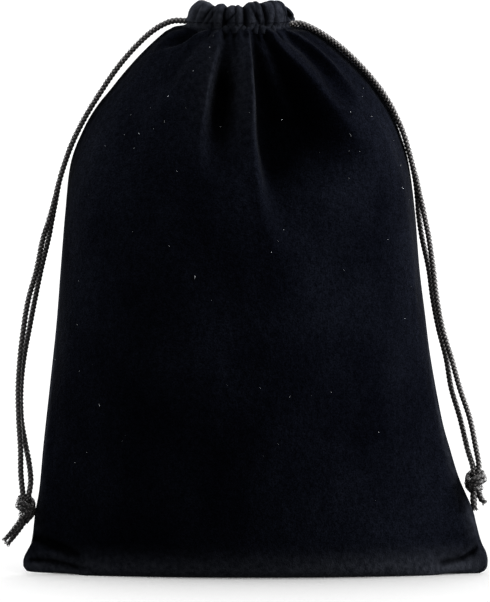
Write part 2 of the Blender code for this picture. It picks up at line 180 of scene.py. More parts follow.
BAND_FOLDS = [
    ([(-18.6, 246.0), (-20.4, 242.0), (-23.0, 237.4)], (-1.6, -1.5, -1.0), (0.8, 0.8, 0.9), 1.0),
    ([(-23.8, 246.4), (-25.2, 241.0), (-26.6, 237.0)], (-0.5, -0.7, -0.5), (1.0, 1.0, 1.0), 1.2),
    ([(-16.2, 244.0), (-18.4, 240.6), (-21.0, 236.8)], (-0.4, -1.0, -0.9), (0.8, 0.8, 0.9), 1.1),
    ([(-12.6, 246.0), (-13.6, 241.0), (-13.8, 235.6)], (-1.7, -1.9, -1.6), (0.8, 0.9, 1.0), 1.0),
    ([(-6.2, 243.6), (-9.4, 240.4), (-13.2, 237.0)], (0.2, -1.2, -1.3), (0.8, 0.9, 0.9), 1.1),
    ([(-8.4, 246.0), (-8.6, 243.0), (-8.0, 241.0)], (-0.9, -0.7, 0.0), (0.7, 0.8, 0.8), 1.1),
    ([(-4.9, 246.0), (-4.4, 241.0), (-4.2, 235.8)], (-1.7, -1.9, -1.5), (0.8, 0.9, 0.9), 1.0),
    ([(-2.1, 245.0), (0.2, 240.8), (2.6, 236.6)], (-0.6, -1.4, -1.4), (0.8, 0.9, 1.0), 1.1),
    ([(0.8, 246.6), (1.6, 243.4), (2.0, 241.0)], (-0.6, -0.7, 0.0), (0.7, 0.8, 0.8), 1.1),
    ([(3.6, 246.6), (4.6, 241.0), (5.4, 236.4)], (-1.7, -1.9, -1.6), (0.8, 0.9, 1.0), 1.0),
    ([(8.4, 240.4), (8.8, 237.6), (8.8, 235.6)], (0.0, -0.7, -1.0), (0.8, 0.9, 1.0), 1.2),
    ([(12.8, 246.6), (14.0, 240.6), (14.6, 235.4)], (-0.6, -1.2, -1.2), (0.8, 0.9, 1.0), 1.1),
]
BACK_FOLDS = [
    ([(-16.0, 236.0), (-20.0, 226.0), (-27.0, 208.0), (-34.0, 186.0)],
     (-2.4, -4.0, -4.0, 0.0), (1.8, 2.8, 5.0, 9.0), 1.4),
    ([(-8.0, 236.0), (-9.0, 222.0), (-9.0, 198.0), (-11.0, 164.0)],
     (-2.4, -4.8, -4.6, 0.0), (1.8, 3.4, 6.0, 11.0), 1.4),
    ([(0.0, 236.0), (1.0, 224.0), (5.0, 202.0), (8.0, 172.0)],
     (-2.2, -4.4, -4.2, 0.0), (1.7, 3.2, 5.4, 10.0), 1.4),
    ([(8.0, 236.0), (13.0, 225.0), (22.0, 208.0), (32.0, 186.0)],
     (-2.4, -4.0, -3.8, 0.0), (1.8, 2.8, 5.0, 9.0), 1.4),
    ([(-24.0, 236.0), (-32.0, 229.0), (-43.0, 216.0), (-52.0, 200.0)],
     (-1.8, -2.6, -2.2, 0.0), (1.4, 2.0, 3.6, 6.0), 1.3),
    ([(12.6, 236.0), (20.0, 230.0), (31.0, 218.0), (42.0, 202.0)],
     (-1.8, -2.6, -2.2, 0.0), (1.4, 2.0, 3.6, 6.0), 1.3),
    ([(-4.0, 236.0), (-4.0, 222.0), (-2.0, 196.0), (0.0, 150.0)],
     (0.6, 1.6, 2.0, 0.0), (1.6, 2.2, 3.6, 7.0), 1.3),
    ([(-12.0, 236.0), (-14.0, 222.0), (-18.0, 200.0), (-22.0, 168.0)],
     (0.6, 1.6, 1.8, 0.0), (1.6, 2.2, 3.6, 7.0), 1.3),
    ([(4.0, 236.0), (7.0, 224.0), (13.0, 204.0), (22.0, 176.0)],
     (0.6, 1.6, 1.8, 0.0), (1.6, 2.2, 3.6, 7.0), 1.3),
    ([(-58.0, 172.0), (-52.0, 142.0), (-58.0, 108.0)], (0.0, -1.3, 0.0), (9.0, 13.0, 18.0), 2.0),
    ([(40.0, 164.0), (34.0, 130.0), (40.0, 98.0)], (0.0, -1.3, 0.0), (9.0, 14.0, 18.0), 2.0),
    ([(-14.0, 110.0), (-20.0, 82.0), (-14.0, 50.0)], (0.0, 1.1, 0.0), (14.0, 18.0, 18.0), 2.0),
    ([(-95.0, 15.0), (-87.0, 12.0), (-74.0, 8.0)], (-0.9, -1.4, 0.0), (1.0, 1.6, 2.8), 1.2),
    ([(95.0, 13.0), (87.0, 9.0), (74.0, 6.0)], (-0.9, -1.4, 0.0), (1.0, 1.6, 2.8), 1.2),
]
# Pleats, each as (crest from the neck down, hand, depths, reaches, edges). Beside a crest that runs
# straight down, the cloth drops on the side of larger x where hand is 1 and on the other where it is
# -1. It drops over the edge's width and is back at its height about the reach away.
FRONT_DROPS = [
    ([(-14.6, 241.0), (-14.9, 231.0), (-16.9, 221.4), (-19.0, 212.0), (-20.6, 203.0), (-21.8, 195.0),
      (-23.6, 184.0), (-25.6, 172.0)], 1,
     (1.0, 2.2, 5.5, 12.0, 11.5, 8.5, 4.0, 0.0), (3.0, 5.5, 8.5, 10.0, 11.5, 13.0, 15.0, 18.0),
     (0.8, 0.9, 1.0, 1.2, 1.6, 2.6, 4.4, 7.0)),
    ([(-3.5, 237.0), (-2.2, 228.0), (-1.2, 217.7), (-0.4, 205.0), (-0.3, 192.0), (0.9, 176.0),
      (2.9, 160.0), (6.4, 148.0), (9.7, 139.0)], 1,
     (2.0, 7.0, 12.0, 15.0, 13.5, 9.0, 4.8, 2.0, 0.0), (4.0, 7.5, 17.0, 24.0, 28.0, 28.0, 24.0, 20.0, 16.0),
     (0.8, 0.9, 1.2, 1.5, 2.0, 2.8, 4.0, 5.0, 6.0)),
    ([(4.1, 237.0), (8.6, 230.0), (13.9, 224.2), (20.4, 218.0), (26.6, 211.0), (34.6, 200.5),
      (44.6, 187.0), (53.2, 180.0)], -1,
     (1.6, 5.0, 7.5, 8.5, 8.0, 6.0, 3.0, 0.0), (3.0, 5.0, 8.0, 12.0, 17.0, 22.0, 20.0, 18.0),
     (0.9, 1.3, 2.4, 4.0, 5.0, 6.0, 6.6, 8.0)),
    ([(9.8, 237.0), (16.4, 232.5), (23.8, 227.6), (31.0, 220.8), (38.2, 212.0), (45.0, 203.0)], -1,
     (1.4, 3.2, 4.0, 3.6, 2.0, 0.0), (2.2, 3.4, 4.6, 6.0, 8.0, 9.0), (0.8, 0.9, 1.1, 1.5, 2.4, 3.6)),
    ([(-14.4, 238.6), (-18.9, 235.6), (-23.6, 232.6), (-28.0, 230.0), (-32.2, 227.9), (-37.0, 226.0),
      (-41.8, 224.6), (-47.0, 223.4)], -1,
     (2.0, 4.0, 5.4, 5.6, 4.8, 3.4, 1.8, 0.0), (2.4, 3.6, 4.8, 5.6, 5.6, 5.0, 4.0, 3.0),
     (0.7, 0.8, 0.9, 1.0, 1.3, 1.8, 2.4, 3.0)),
]
BACK_DROPS = [
    ([(-11.0, 237.0), (-13.0, 226.0), (-17.0, 210.0), (-21.0, 190.0), (-25.0, 168.0)], 1,
     (2.0, 6.0, 7.5, 5.0, 0.0), (3.0, 6.0, 9.0, 12.0, 15.0), (0.8, 1.2, 1.8, 3.0, 5.0)),
    ([(1.0, 237.0), (2.0, 226.0), (5.0, 208.0), (8.0, 186.0), (10.0, 160.0)], -1,
     (2.0, 6.0, 8.5, 6.0, 0.0), (3.0, 6.0, 9.0, 12.0, 15.0), (0.8, 1.2, 1.8, 3.0, 5.0)),
    ([(8.0, 237.0), (14.0, 228.0), (24.0, 214.0), (34.0, 198.0), (44.0, 182.0)], 1,
     (1.6, 3.6, 4.4, 2.8, 0.0), (3.0, 5.0, 8.0, 11.0, 14.0), (0.8, 1.3, 2.0, 3.2, 5.0)),
    ([(-20.0, 237.0), (-28.0, 230.0), (-38.0, 219.0), (-48.0, 205.0)], -1,
     (1.6, 3.6, 3.6, 0.0), (3.0, 5.0, 8.0, 11.0), (0.8, 1.3, 2.2, 4.0)),
]
BACK_BAND_CREASES = (-24.0, -19.5, -15.6, -12.0, -8.0, -4.4, 0.0, 3.4, 6.8, 10.0, 12.8)
FRONT_BAND_CREASES = (-18.6, -12.8, -8.4, -4.8, 0.8, 3.8, 9.0, 12.9)
SIDES = {"front": -1, "back": 1}
# For each side: the folds, the pleats, the hem's folds, its top, and where its gathers are creased
SHAPES = {
    -1: (FRONT_FOLDS, FRONT_DROPS, BAND_FOLDS, FRONT_TOP, FRONT_BAND_CREASES),
    1: (BACK_FOLDS, BACK_DROPS, [], BACK_TOP, BACK_BAND_CREASES),
}

# ---------------------------------------------------------------- the cords, as in the CAD
CORD_RADIUS = 1.25
LEFT_CORD_Z = 237.9
RIGHT_CORD_Z = 240.9
STRAND_Y = 1.4
CHANNEL_INSET = 4.5  # of the cord's run, from the neck's outline
WAY_OUT = ((0.0, 4.3, 0.0), (2.0, 2.6, 0.4), (5.0, 1.6, 1.0))  # (outwards, y, share of the sag)
LEFT_SHOULDER = [
    (-34.8, 237.9), (-39.8, 236.1), (-45.1, 232.6), (-50.6, 227.5), (-56.2, 221.3), (-61.8, 214.0),
    (-66.5, 206.9), (-70.9, 200.0), (-75.2, 192.3), (-78.8, 184.6), (-81.6, 177.0), (-84.0, 169.1),
]
RIGHT_SHOULDER = [
    (19.4, 236.8), (25.0, 234.5), (30.8, 231.0), (37.0, 226.4), (43.0, 220.9), (48.9, 214.6),
    (53.7, 208.6), (57.9, 202.1), (61.1, 195.8), (63.8, 189.3), (65.7, 183.0), (67.4, 176.6),
]
LEFT_FRONT_FALL = [
    (-85.8, -1.5, 161.8), (-88.4, -1.5, 152.5), (-91.0, -1.5, 144.6), (-93.6, -1.5, 131.8),
    (-97.2, -1.5, 118.9), (-99.4, -1.5, 106.0), (-100.9, -1.4, 93.1), (-101.7, -1.4, 80.3),
    (-101.5, -1.4, 67.4), (-100.8, -1.4, 54.5), (-100.7, -1.5, 44.0), (-100.0, -1.6, 36.4),
    (-99.4, -1.7, 31.5),
]
LEFT_BACK_FALL = [
    (-85.4, 1.4, 161.8), (-87.2, 1.4, 152.5), (-88.7, 1.4, 144.6), (-91.8, 1.4, 131.8),
    (-94.5, 1.4, 118.9), (-97.0, 1.4, 106.0), (-99.4, 1.5, 93.1), (-100.7, 1.5, 80.3),
    (-100.6, 1.5, 67.4), (-99.0, 1.4, 57.0), (-97.3, 0.6, 48.5), (-96.5, -0.4, 41.5),
    (-96.9, -1.4, 36.4), (-98.0, -1.5, 31.5),
]
RIGHT_FRONT_FALL = [
    (69.4, -1.4, 169.0), (71.2, -1.4, 161.0), (72.6, -1.4, 154.5), (74.6, -1.4, 144.6),
    (76.4, -1.4, 131.8), (78.0, -1.4, 118.9), (80.5, -1.4, 106.0), (84.4, -1.4, 93.1),
    (88.0, -1.4, 80.3), (92.3, -1.5, 67.4), (95.0, -1.6, 54.5), (96.2, -1.8, 47.6), (95.7, -1.9, 42.8),
]
RIGHT_BACK_FALL = [
    (68.9, 1.4, 169.0), (69.8, 1.4, 161.0), (70.3, 1.4, 154.5), (71.8, 1.4, 144.6),
    (74.6, 1.4, 131.8), (76.4, 1.4, 118.9), (78.9, 1.4, 106.0), (82.2, 1.4, 93.1),
    (84.4, 1.4, 80.3), (88.2, 1.2, 67.4), (91.3, 0.0, 54.5), (93.4, -1.2, 47.6), (94.2, -1.7, 42.8),
]
KNOT_LOOSENESS = (1.32, 1.20, 1.28)  # the tied cord's size against its CAD solid's
KNOT_SAG = 1.0  # how far below the solid's middle it lies
KNOT_SHADE = 0.84  # knots and tails painted darker than the free strands: painted shade
KNOT_CORD_RADIUS = 1.12
KNOT_CORD_SPACING = 0.95  # of each of the two cords from the line between them
# The line that a knot's doubled cord takes, as (x, y, z)
KNOT_LINE = [
    (0.4, 0.6, 4.0), (0.3, 1.0, 1.6), (-0.4, 1.0, -1.0), (-1.2, 0.2, -3.0),
    (0.2, -1.6, -3.3), (2.2, -1.6, -1.9), (3.0, 0.0, 0.2), (2.0, 1.9, 2.0), (-0.4, 2.5, 2.9),
    (-2.6, 1.0, 2.6), (-2.7, -1.3, 1.6), (-0.6, -2.9, 0.6), (1.7, -2.5, -0.7), (2.3, -0.4, -2.0),
    (0.9, 0.9, -3.4), (-0.7, 0.3, -4.9),
]
LEFT_TAILS = (
    [(-99.6, -1.6, 26.4), (-100.6, -3.0, 23.4), (-104.0, -3.3, 19.2), (-107.6, -3.2, 15.4)],
    [(-98.8, -0.8, 26.0), (-99.6, -0.3, 23.0), (-102.9, -0.3, 17.8), (-106.2, -0.6, 13.4)],
)
RIGHT_TAILS = (
    [(95.7, -2.0, 38.2), (96.3, -2.9, 35.1), (97.2, -3.2, 33.0), (98.3, -3.2, 31.6)],
    [(94.5, -2.4, 38.0), (94.0, -3.4, 35.1), (93.9, -4.0, 32.0), (94.3, -4.3, 28.9)],
)


# ---------------------------------------------------------------- curves and meshes
def smooth(points, count, samples=16):
    """Points an even distance apart along a Catmull-Rom curve through the given points."""
    p = np.array(points, float)
    p = np.vstack([2 * p[0] - p[1], p, 2 * p[-1] - p[-2]])
    t = (np.arange(samples) / samples)[:, None]
    fine = []
    for a, b, c, d in zip(p, p[1:], p[2:], p[3:]):
        square, cube = 2 * a - 5 * b + 4 * c - d, 3 * b - a - 3 * c + d
        fine.append(0.5 * (2 * b + (c - a) * t + square * t**2 + cube * t**3))
    fine = np.vstack([*fine, p[-2:-1]])
    along = distances_along(fine)
    wanted = np.linspace(0.0, along[-1], count)
    return np.stack([np.interp(wanted, along, fine[:, k]) for k in range(p.shape[1])], axis=1)


def line_length(points):
    return float(np.linalg.norm(np.diff(points, axis=0), axis=1).sum())


def make_object(name, points, faces, material):
    """points in millimetres."""
    mesh = bpy.data.meshes.new(name)
    mesh.from_pydata((np.asarray(points) * MM).tolist(), [], faces)
    mesh.update()
    mesh.shade_smooth()
    mesh.materials.append(material)
    obj = bpy.data.objects.new(name, mesh)
    bpy.context.scene.collection.objects.link(obj)
    return obj


def point_attribute(obj, name, values):
    layer = obj.data.attributes.new(name, "FLOAT", "POINT")
    layer.data.foreach_set("value", values.reshape(-1).astype(np.float32))


def distances_along(line):
    return np.concatenate([[0.0], np.cumsum(np.linalg.norm(np.diff(line, axis=0), axis=1))])


def tangents(line):
    tangent = np.gradient(line, axis=0)
    return tangent / np.linalg.norm(tangent, axis=1)[:, None]


def travelling_frames(line):
    """Two directions across the line at each of its points, which turn with it and don't twist."""
    tangent = tangents(line)
    first = np.cross(tangent[0], (0.0, 1.0, 0.0))
    if np.linalg.norm(first) < 0.1:
        first = np.cross(tangent[0], (1.0, 0.0, 0.0))
    across = [first / np.linalg.norm(first)]
    for t in tangent[1:]:
        v = across[-1] - t * np.dot(across[-1], t)
        across.append(v / np.linalg.norm(v))
    across = np.array(across)
    return across, np.cross(tangent, across)


def tube_mesh(line, radii, around, crowns=None):
    """(points, faces) of a closed tube. If crowns is a list, the tube is braided, and each point's
    relief is added to the list."""
    across, up = travelling_frames(line)
    turn = np.arange(around) * 2 * math.pi / around
    radius = np.broadcast_to(np.asarray(radii, float).reshape(-1, 1), (len(line), around)).copy()
    if crowns is not None:
        relief = braid(turn[None, :], distances_along(line)[:, None])
        radius += relief * (radius / CORD_RADIUS)
        crowns.append(np.append(relief.reshape(-1), (0.0, 0.0)))
    ring = across[:, None, :] * np.cos(turn)[None, :, None] + up[:, None, :] * np.sin(turn)[None, :, None]
    points = (line[:, None, :] + ring * radius[:, :, None]).reshape(-1, 3)
    points = np.vstack([points, line[0], line[-1]])
    n = len(line)
    first, last = n * around, n * around + 1
    faces = []
    for i in range(n - 1):
        a = i * around
        for j in range(around):
            k = (j + 1) % around
            faces.append((a + j, a + k, a + around + k, a + around + j))
    for j in range(around):
        k = (j + 1) % around
        faces.append((first, k, j))
        faces.append((last, (n - 1) * around + j, (n - 1) * around + k))
    return points, faces


def joined(parts):
    """One (points, faces) from several."""
    points, faces, base = [], [], 0
    for p, f in parts:
        points.append(np.asarray(p, float))
        faces += [tuple(i + base for i in face) for face in f]
        base += len(p)
    return np.vstack(points), faces


# ---------------------------------------------------------------- materials
def principled(name, color, roughness):
    material = bpy.data.materials.new(name)
    material.use_nodes = True
    nodes = material.node_tree.nodes
    shader = nodes["Principled BSDF"]
    shader.inputs["Base Color"].default_value = (*color, 1.0)
    shader.inputs["Roughness"].default_value = roughness
    return material, nodes, material.node_tree.links, shader


def noise(nodes, links, coords, scale, detail, stretch=(1.0, 1.0, 1.0)):
    mapping = nodes.new("ShaderNodeMapping")
    mapping.inputs["Scale"].default_value = stretch
    links.new(coords, mapping.inputs["Vector"])
    texture = nodes.new("ShaderNodeTexNoise")
    texture.inputs["Scale"].default_value = scale
    texture.inputs["Detail"].default_value = detail
    links.new(mapping.outputs["Vector"], texture.inputs["Vector"])
    return texture.outputs["Fac"]


def ramp(nodes, links, value, stops):
    node = nodes.new("ShaderNodeValToRGB")
    elements = node.color_ramp.elements
    while len(elements) < len(stops):
        elements.new(0.5)
    for element, (position, color) in zip(elements, stops):
        element.position = position
        element.color = (*color, 1.0)
    links.new(value, node.inputs["Fac"])
    return node.outputs["Color"]


def greys(nodes, links, value, low, dark, high, light):
    """A grey ramp, dark up to the value low and light from the value high on."""
    return ramp(nodes, links, value, [(low, (dark,) * 3), (high, (light,) * 3)])


def mixed(nodes, links, kind, factor, a, b):
    node = nodes.new("ShaderNodeMix")
    node.data_type = "RGBA"
    node.blend_type = kind
    if isinstance(factor, float):
        node.inputs["Factor"].default_value = factor
    else:
        links.new(factor, node.inputs["Factor"])
    links.new(a, node.inputs[6])
    links.new(b, node.inputs[7])
    return node.outputs[2]


def attribute(nodes, name):
    node = nodes.new("ShaderNodeAttribute")
    node.attribute_name = name
    return node.outputs["Fac"]


def bump(nodes, links, height, strength, distance, normal=None):
    node = nodes.new("ShaderNodeBump")
    node.inputs["Strength"].default_value = strength
    node.inputs["Distance"].default_value = distance
    links.new(height, node.inputs["Height"])
    if normal is not None:
        links.new(normal, node.inputs["Normal"])
    return node.outputs["Normal"]


def velvet_material(name, sheen):
    material, nodes, links, shader = principled(name, (0.003, 0.0033, 0.0045), 1.0)
    coords = nodes.new("ShaderNodeTexCoord").outputs["Object"]
    broad = noise(nodes, links, coords, 24.0, 2.0, (1.0, 1.0, 0.8))
    brushed = noise(nodes, links, coords, 480.0, 3.0, (1.0, 1.0, 0.80))
    pile = noise(nodes, links, coords, 1500.0, 2.0)
    color = ramp(
        nodes, links, broad, [(0.35, (0.00032, 0.00038, 0.00070)), (0.68, (0.00075, 0.00090, 0.00150))]
    )
    for factor in (
        greys(nodes, links, brushed, 0.30, 0.70, 0.72, 1.25),
        greys(nodes, links, pile, 0.30, 0.45, 0.70, 1.55),
    ):
        color = mixed(nodes, links, "MULTIPLY", 1.0, color, factor)
    # the lighter pile colour that the painted light and painted highlights mix in
    lit_pile_color = ramp(
        nodes, links, brushed, [(0.30, (0.0030, 0.0034, 0.0045)), (0.72, (0.0085, 0.0092, 0.0115))]
    )
    # painted light: lighter along the foot and the side seams, at the gathers and on the upper pleats
    color = mixed(nodes, links, "MIX", attribute(nodes, "painted_light"), color, lit_pile_color)
    # painted highlight along the deep pleats' crests and over the whole hem
    highlight_mix = greys(nodes, links, attribute(nodes, "painted_highlight"), 0.0, 0.0, 1.0, 0.32)
    color = mixed(nodes, links, "MIX", highlight_mix, color, lit_pile_color)
    # painted shade: darker in the creases, pleats and gathers and inside the mouth
    shade = greys(nodes, links, attribute(nodes, "painted_shade"), 0.0, 1.0, 1.0, 0.12)
    color = mixed(nodes, links, "MULTIPLY", 1.0, color, shade)
    links.new(color, shader.inputs["Base Color"])
    shader.inputs["Specular IOR Level"].default_value = 0.0
    shader.inputs["Sheen Weight"].default_value = sheen
    shader.inputs["Sheen Roughness"].default_value = 0.32
    shader.inputs["Sheen Tint"].default_value = (0.99, 1.0, 0.99, 1.0)
    fuzz = bump(nodes, links, pile, 0.8, 0.00025)
    links.new(bump(nodes, links, brushed, 0.5, 0.0006, fuzz), shader.inputs["Normal"])
    return material


def cord_material():
    material, nodes, links, shader = principled("charcoal_braid", (0.02, 0.019, 0.019), 0.42)
    coords = nodes.new("ShaderNodeTexCoord").outputs["Object"]
    blotches = noise(nodes, links, coords, 900.0, 2.0)
    fibres = noise(nodes, links, coords, 5200.0, 2.0)
    # painted shade in the braid's gaps and painted highlight on the strands' crowns, by how far each point
    # stands out
    color = ramp(
        nodes, links, attribute(nodes, "crown"),
        [(0.42, (0.0004, 0.0004, 0.0005)), (0.70, (0.0060, 0.0057, 0.0058)),
         (1.0, (0.043, 0.0408, 0.0408))],
    )
    blotch_color = greys(nodes, links, blotches, 0.30, 0.6, 0.72, 1.5)
    color = mixed(nodes, links, "MULTIPLY", 1.0, color, blotch_color)
    fibre_color = ramp(nodes, links, fibres, [(0.32, (0.5, 0.5, 0.5)), (0.70, (1.5, 1.45, 1.4))])
    color = mixed(nodes, links, "MULTIPLY", 1.0, color, fibre_color)
    links.new(color, shader.inputs["Base Color"])
    shader.inputs["Specular IOR Level"].default_value = 0.08
    shader.inputs["Sheen Weight"].default_value = 0.004
    links.new(bump(nodes, links, fibres, 0.5, 0.00012), shader.inputs["Normal"])
    return material


def thread_material():
    material, nodes, links, shader = principled("black_thread", (0.001, 0.001, 0.0015), 0.9)
    coords = nodes.new("ShaderNodeTexCoord").outputs["Object"]
    twist = noise(nodes, links, coords, 3000.0, 2.0)
    color = ramp(nodes, links, twist, [(0.3, (0.0003, 0.0003, 0.0005)), (0.7, (0.0008, 0.0008, 0.0012))])
    links.new(color, shader.inputs["Base Color"])
    shader.inputs["Specular IOR Level"].default_value = 0.0
    links.new(bump(nodes, links, twist, 0.4, 0.0001), shader.inputs["Normal"])
    return material


def lint_material():
    material, nodes, links, shader = principled("pale_lint", (0.35, 0.35, 0.36), 0.9)
    coords = nodes.new("ShaderNodeTexCoord").outputs["Object"]
    tone = noise(nodes, links, coords, 120.0, 1.0)
    color = ramp(nodes, links, tone, [(0.4, (0.02, 0.022, 0.024)), (0.6, (0.20, 0.21, 0.22))])
    links.new(color, shader.inputs["Base Color"])
    return material


# Lit and shaded copies of the velvet, for painted shade: the deeper in a pleat, the less sheen: (up to this
# painted shade share, sheen), a material for each.
# The sheen is a constant in each of them, because the export drops a linked one.
SHEEN_STEPS = ((0.15, 0.0095), (0.40, 0.0070), (0.65, 0.0044), (0.85, 0.0022), (9.0, 0.0006))
VELVETS = [velvet_material(f"black_velvet_shade_step_{i}", sheen) for i, (_, sheen) in enumerate(SHEEN_STEPS)]
CORD = cord_material()
THREAD = thread_material()
LINT = lint_material()


# ---------------------------------------------------------------- the velvet
def ring_angle(x):
    """Where x lies on the neck's ring, from 0 at the left side seam to pi at the right one."""
    return np.arccos(np.clip(-(np.asarray(x, float) - NECK_X) / NECK_HALF_WIDTH, -1.0, 1.0))


WIDEST_CREASE = 5.0  # a wider dip gets no painted shade inside
DARK_DEPTH = 9.0  # a pleat gets its full painted shade at this depth, and the crest of a deeper one a painted highlight
CREST_WIDTH = 0.6
PINCH_WIDTH = 0.045  # of the gathers' creases round the hem, in radians
NECK_PINCH_WIDTH = 0.07  # and just below the stitch line
ARC_RADIUS = 20.0  # BAND_FOLDS lie on a hem that is rolled flat from a ring of this radius


def beside_line(x, z, points):
    """Each point's distance from the line, which side of it the point is on, and how far along it."""
    line = smooth(points, 40)
    best = np.full(x.shape, 1e9)
    place = np.zeros_like(x)
    hand = np.zeros_like(x)
    for i, (a, b) in enumerate(zip(line, line[1:])):
        d = b - a
        t = np.clip(((x - a[0]) * d[0] + (z - a[1]) * d[1]) / (d @ d), 0.0, 1.0)
        far = np.hypot(x - a[0] - t * d[0], z - a[1] - t * d[1])
        nearer = far < best
        best = np.where(nearer, far, best)
        place = np.where(nearer, (i + t) / (len(line) - 1), place)
        hand = np.where(nearer, np.sign(d[0] * (z - a[1]) - d[1] * (x - a[0])), hand)
    return best, hand, place


def along_line(place, values):
    """The values, which are spread evenly along a line, at each place on it from 0 to 1."""
    return np.interp(place, np.linspace(0.0, 1.0, len(values)), values)


def fold_height(x, z, folds):
    """The sum of the folds' heights at each point."""
    height = np.zeros_like(x)
    for points, heights, widths, power in folds:
        far, _, place = beside_line(x, z, points)
        height += along_line(place, heights) * np.exp(-((far / along_line(place, widths)) ** power))
    return height


def drop_height(x, z, drops):
    """Pleats, where the cloth falls away sharply on one side of a line and comes back slowly."""
    height = np.zeros_like(x)
    for points, hand, depths, reaches, edges in drops:
        far, side, place = beside_line(x, z, points)
        on_side = np.clip(far * side * hand, 0.0, None)
        past_end = np.exp(-((np.where(side * hand > 0, 0.0, far) / 6.0) ** 2))
        fall = 1.0 - np.exp(-((on_side / along_line(place, edges)) ** 1.6))
        rise = np.exp(-((on_side / along_line(place, reaches)) ** 3))
        height -= along_line(place, depths) * fall * rise * past_end
    return height


def painted_shade_share(x, z, folds, drops):
    """How much painted shade each point gets, from 0 to 1, by how deep it lies in a crease or a pleat."""
    lit_share = np.ones_like(x)
    for points, heights, widths, _ in folds:
        if min(heights) < 0.0 and max(widths) < WIDEST_CREASE:
            far, _, place = beside_line(x, z, points)
            depth = np.clip(-along_line(place, heights), 0.0, None)
            near = np.exp(-((far / along_line(place, widths)) ** 2))
            lit_share *= 1.0 - np.clip(0.6 * depth * near, 0.0, 0.9)
    for drop in drops:
        lit_share *= 1.0 - np.clip(-drop_height(x, z, [drop]) / DARK_DEPTH, 0.0, 1.0)
    return 1.0 - lit_share


def painted_crest_highlight(x, z, drops):
    """How near each point lies to a deep pleat's crest, from 0 to 1: a painted highlight there."""
    share = np.zeros_like(x)
    for points, _, depths, _, edges in drops:
        far, _, place = beside_line(x, z, points)
        deep = np.clip((along_line(place, depths) - DARK_DEPTH) / 6.0, 0.0, 1.0)
        sharp = np.clip((2.8 - along_line(place, edges)) / 1.6, 0.0, 1.0)
        share = np.maximum(share, deep * sharp * np.exp(-((far / CREST_WIDTH) ** 2)))
    return share


def soft_waves(x, z, seed):
    """Slow unevenness of hand-filled cloth, under a millimetre."""
    draw = random.Random(seed)
    total = np.zeros_like(x)
    for count, lengths, tilt, squeeze, heights in (
        (14, (24.0, 80.0), 0.9, 0.6, (0.05, 0.16)),
        (10, (6.0, 14.0), 0.5, 1.0, (0.01, 0.03)),
    ):
        for _ in range(count):
            k = 2 * math.pi / draw.uniform(*lengths)
            angle = draw.uniform(-tilt, tilt)
            phase = draw.uniform(0.0, 2 * math.pi)
            across = x * math.cos(angle) + z * squeeze * math.sin(angle)
            total += draw.uniform(*heights) * np.sin(k * across + phase)
    return total


def step_between(value, low, high):
    t = np.clip((value - low) / (high - low), 0.0, 1.0)
    return t * t * (3 - 2 * t)


def pinches(angle, creases, width):
    """How near each angle round the neck lies to a gather's crease, from 0 to 1."""
    share = np.zeros_like(angle)
    for crease in ring_angle(creases):
        share = np.maximum(share, np.exp(-np.abs(angle - crease) / width))
    return share


def plain_panel(side, u):
    """The filled panel before its folds, and each point's distance from the bag's edge."""
    share = 1.0 - (1.0 - np.linspace(0.0, 1.0, BODY_ROWS + 1)) ** 1.2
    even = np.linspace(0.0, 1.0, 2001)
    left, right, centre = (
        np.stack([np.interp(share, even, column) for column in smooth(line, 2001).T], axis=1)[:, None, :]
        for line in (LEFT_EDGE, RIGHT_EDGE, CENTRE_LINE)
    )
    turn = np.clip(np.cos(0.5 * math.pi * u), 0.0, 1.0)
    sideways = np.sin(0.5 * math.pi * u)
    half_width = 0.5 * (right[..., 0] - left[..., 0])
    x = 0.5 * (left[..., 0] + right[..., 0]) + half_width * sideways
    edge_z = left[..., 1] + (right[..., 1] - left[..., 1]) * 0.5 * (1.0 + sideways)
    # lens-shaped across at the foot, and rounder higher up
    section = 1.0 - 0.5 * np.minimum(1.0, 1.6 * share)[:, None]
    level = np.minimum(1.0, 1.3 * turn**0.6)
    depth = SEAM_HALF_GAP + (centre[..., 0] - SEAM_HALF_GAP) * turn ** (2.0 * section)
    z = np.maximum(0.0, edge_z + (centre[..., 1] - edge_z) * level)
    from_edge = (1.0 - np.abs(sideways)) * half_width
    # the cloth rolls over the side seams in a bead
    bead = 0.75 * (1.0 - np.exp(-from_edge / 0.25)) * np.exp(-from_edge / 2.6)
    depth = depth + bead * step_between(z, 0.4, 4.0)
    return np.stack([x, side * depth, z], axis=2), from_edge


def folded_panel(side, u, panel, from_edge):
    """The panel with its folds and pleats, and its points' painted shade and painted highlight shares."""
    folds, drops, _, _, creases = SHAPES[side]
    x, z = panel[..., 0], panel[..., 2]
    normal = np.cross(np.gradient(panel, axis=1), np.gradient(panel, axis=0)) * -side
    normal /= np.maximum(np.linalg.norm(normal, axis=2), 1e-9)[..., None]
    height = fold_height(x, z, folds) + drop_height(x, z, drops)
    height += soft_waves(x, z, SEED + side) * step_between(z, 4.0, 30.0)
    height *= step_between(from_edge, 0.3, 3.2) * step_between(z, 0.2, 3.0)
    height *= 1.0 - 0.55 * step_between(z, 232.0, SEAM_Z)
    # below the stitch line the gathers bulge and pinch, and the thread pulls a groove
    pinch = pinches(0.5 * math.pi * (u + 1.0), creases, NECK_PINCH_WIDTH)
    below = SEAM_Z - z
    bulge = (0.9 - 1.9 * pinch) * np.exp(-(((below - 2.6) / 1.9) ** 2))
    height += bulge * step_between(from_edge, 0.5, 6.0)
    height -= 0.5 * np.exp(-((below / 0.8) ** 2))
    # painted shade in the creases and pleats, and in the gathers' creases just below the stitch line
    painted_shade = np.maximum(painted_shade_share(x, z, folds, drops), 0.7 * pinch * np.exp(-((below / 5.0) ** 2)))
    painted_highlight = painted_crest_highlight(x, z, drops)
    folded = panel + normal * height[..., None]
    folded[..., 2] = np.maximum(folded[..., 2], 0.0)
    folded[..., 1] = side * np.maximum(side * folded[..., 1], SEAM_HALF_GAP)
    return folded, painted_shade, painted_highlight


